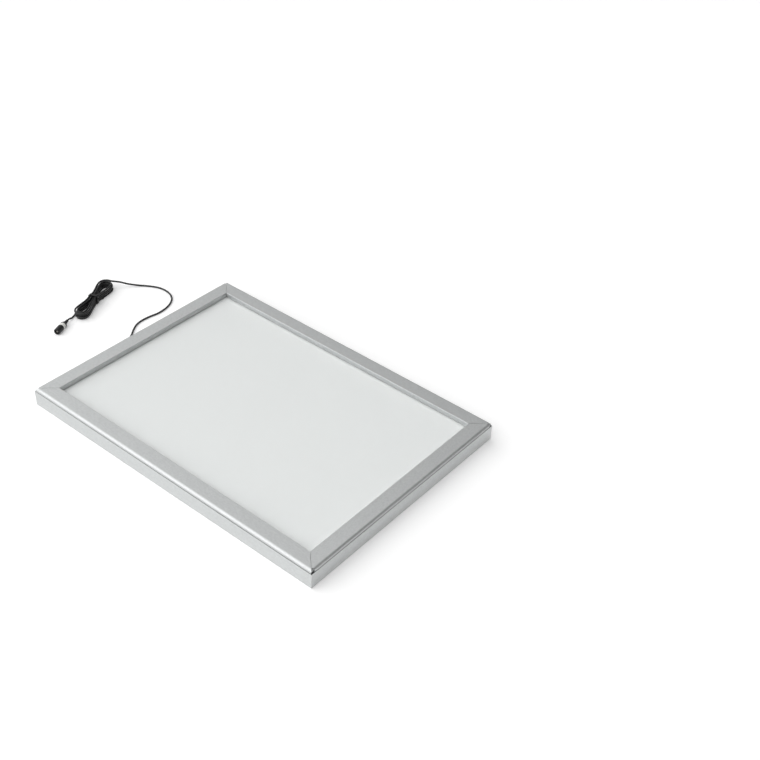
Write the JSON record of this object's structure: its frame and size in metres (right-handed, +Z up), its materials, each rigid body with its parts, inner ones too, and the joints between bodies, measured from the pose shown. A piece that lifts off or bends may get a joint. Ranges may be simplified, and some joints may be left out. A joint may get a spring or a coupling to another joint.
{
  "type": "tracing light box",
  "caption": "Slim edge-lit tracing light box in a silver snap frame: sprung flaps hinge up along the edges to change the sheet, and a thin black lead ends in an inline connector.",
  "frame": {"origin": "middle of the frame's underside, on the table", "axes": "+Z up, out of the lit face; +X along the long sides, away from the side where the lead comes out; the lead leaves the middle of the left side, at -X"},
  "size_m": [0.5871, 0.323, 0.025],
  "materials": {
    "anodised_rail": "satin silver anodised extrusion",
    "anodised_flap": "satin silver anodised extrusion",
    "spring_steel": "bright spring steel",
    "zinc_steel": "zinc plated",
    "back_sheet": "mill finish sheet",
    "foam_board": "foamed board, matt",
    "reflector_film": "matt white film",
    "acrylic_guide": "clear polished acrylic",
    "opal_sheet": "opal white sheet",
    "clear_sheet": "clear flexible sheet",
    "strip_board": "white solder mask",
    "emitter": "phosphor resin",
    "wire_pvc": "matt wire sleeve",
    "black_pvc": "satin black sleeve",
    "tie_plastic": "satin black twist tie",
    "pale_ring": "satin white",
    "connector_shell": "satin black",
    "pin_brass": "turned pin"
  },
  "bodies": {
    "box": {"base_rail_front": "anodised_rail", "base_rail_right": "anodised_rail", "base_rail_back": "anodised_rail", "base_rail_left": "anodised_rail", "springs_front": "spring_steel", "springs_right": "spring_steel", "springs_back": "spring_steel", "springs_left": "spring_steel", "corner_keys": "zinc_steel", "corner_screws": "zinc_steel", "back_plate": "back_sheet", "core_board": "foam_board", "reflector_sheet": "reflector_film", "light_guide": "acrylic_guide", "diffuser_sheet": "opal_sheet", "cover_sheet": "clear_sheet", "led_strip_front": "strip_board", "led_strip_back": "strip_board", "led_chips_front": "emitter", "led_chips_back": "emitter", "wire_harness": "wire_pvc", "cable_gland": "black_pvc", "cord": "black_pvc", "cord_hank": "black_pvc", "hank_tie": "tie_plastic", "plug_boot": "black_pvc", "plug_ring": "pale_ring", "plug_barrel": "connector_shell", "plug_pin": "pin_brass"},
    "front_flap": {"flap_front": "anodised_flap"},
    "right_flap": {"flap_right": "anodised_flap"},
    "back_flap": {"flap_back": "anodised_flap"},
    "left_flap": {"flap_left": "anodised_flap"}
  },
  "joints": [
    {"name": "front_hinge", "type": "hinge", "parent": "box", "child": "front_flap", "pos_m": [0, -0.15755, 0.02155], "axis": [1, 0, 0], "range_deg": [0, 100]},
    {"name": "right_hinge", "type": "hinge", "parent": "box", "child": "right_flap", "pos_m": [0.21905, 0, 0.02155], "axis": [0, 1, 0], "range_deg": [0, 100]},
    {"name": "back_hinge", "type": "hinge", "parent": "box", "child": "back_flap", "pos_m": [0, 0.15755, 0.02155], "axis": [-1, 0, 0], "range_deg": [0, 100]},
    {"name": "left_hinge", "type": "hinge", "parent": "box", "child": "left_flap", "pos_m": [-0.21905, 0, 0.02155], "axis": [0, -1, 0], "range_deg": [0, 100]}
  ]
}
